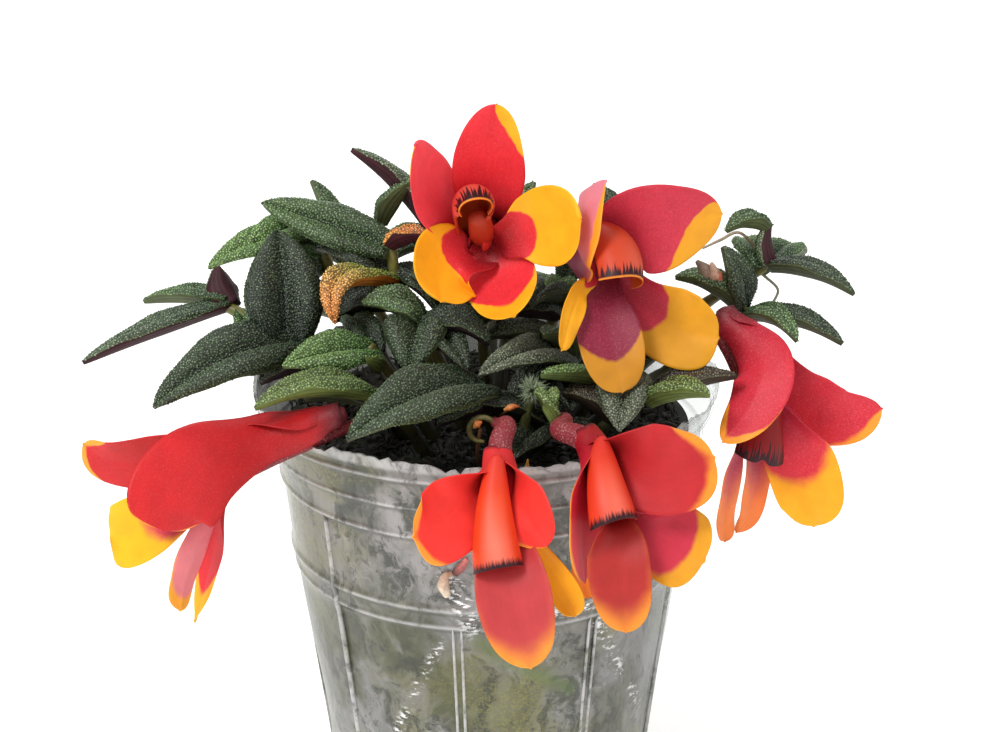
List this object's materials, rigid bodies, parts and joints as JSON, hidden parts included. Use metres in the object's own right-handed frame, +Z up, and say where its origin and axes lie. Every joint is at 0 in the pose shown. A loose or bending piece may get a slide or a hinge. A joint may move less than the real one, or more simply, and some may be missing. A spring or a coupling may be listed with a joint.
{
  "type": "potted dwarf orchid",
  "caption": "Dwarf epiphytic orchid with large upside-down scarlet and yellow blooms over short dark warty leaves, in a clear soft plastic nursery pot.",
  "frame": {"origin": "the pot's axis at the underside of its floor, where it stands", "axes": "+Z up along the pot's axis, -Y towards the viewer and the plant's front, +X to the viewer's right"},
  "size_m": [0.1408, 0.1054, 0.1352],
  "materials": {
    "pot": "clear soft polypropylene, clouded grey, with green algae stains",
    "medium": "dark damp bark chips and sphagnum moss",
    "foliage": "dark green leaves with glistening warts, some with maroon undersides",
    "flower": "waxy sparkling coral red with golden yellow edges",
    "lip": "smooth orange red with a dark purple toothed front"
  },
  "bodies": {
    "root": {"bloom_front_left": "flower", "bloom_front_right": "flower", "bloom_left": "flower", "bloom_right": "flower", "bloom_top": "flower", "bloom_upper_right": "flower", "lip_front_left": "lip", "lip_front_right": "lip", "lip_left": "lip", "lip_right": "lip", "lip_top": "lip", "lip_upper_right": "lip", "medium": "medium", "pot": "pot", "shoot_back_centre": "foliage", "shoot_back_left": "foliage", "shoot_back_low": "foliage", "shoot_back_low_left": "foliage", "shoot_back_low_right": "foliage", "shoot_back_right": "foliage", "shoot_behind_left": "foliage", "shoot_centre": "foliage", "shoot_far_left": "foliage", "shoot_far_right": "foliage", "shoot_front": "foliage", "shoot_front_left_lower": "foliage", "shoot_front_left_upper": "foliage", "shoot_front_low": "foliage", "shoot_front_right": "foliage", "shoot_left": "foliage", "shoot_middle": "foliage", "shoot_middle_left": "foliage", "shoot_middle_right": "foliage", "shoot_right": "foliage", "shoot_right_low": "foliage", "shoot_tall_left": "foliage", "shoot_upper_left": "foliage"}
  },
  "joints": []
}
